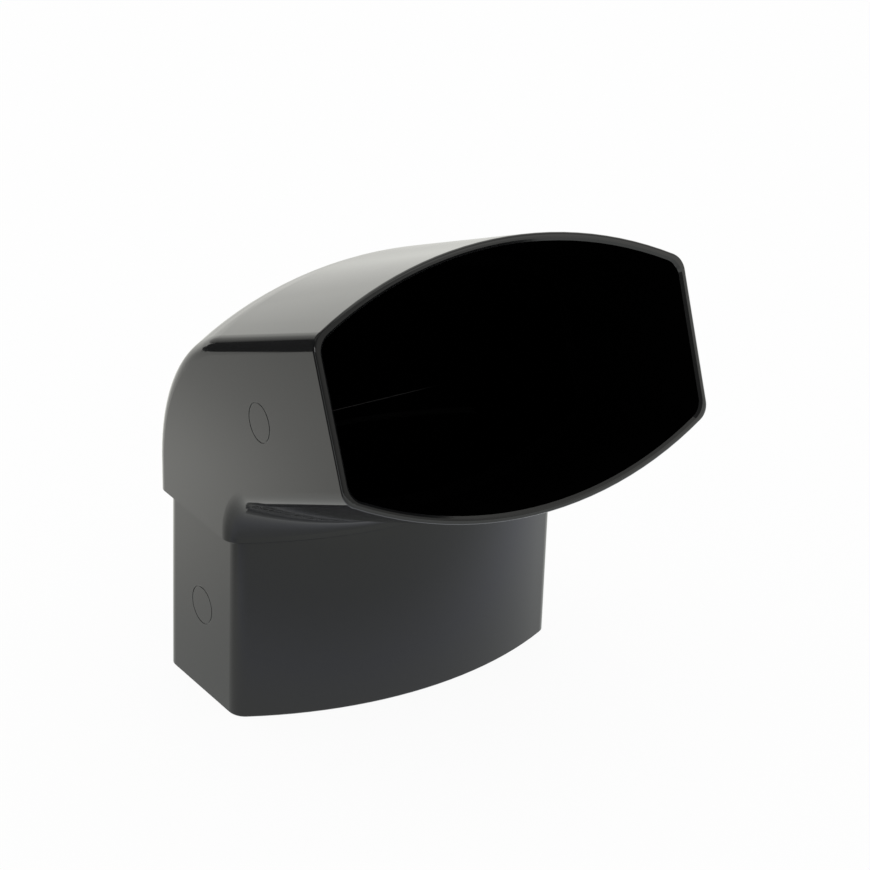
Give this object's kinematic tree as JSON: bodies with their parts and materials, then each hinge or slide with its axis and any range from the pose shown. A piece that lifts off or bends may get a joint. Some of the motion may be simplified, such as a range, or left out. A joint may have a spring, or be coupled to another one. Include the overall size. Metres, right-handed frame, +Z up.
{
  "type": "downpipe bend",
  "caption": "Moulded plastic rainwater pipe bend: a bow-sided rectangular spigot below a short collar, a rounded back and a socket, slightly flared on its flat sides, tilted up and forward.",
  "frame": {"origin": "middle of the open lower end of the spigot", "axes": "+Z up along the spigot, +X across the wide side, socket axis tilted from +Z towards -Y by the angle of the bend"},
  "size_m": [0.0992, 0.1029, 0.1257],
  "materials": {
    "moulded_plastic": "smooth gloss, near black"
  },
  "bodies": {
    "root": {"downpipe_bend": "moulded_plastic"}
  },
  "joints": []
}
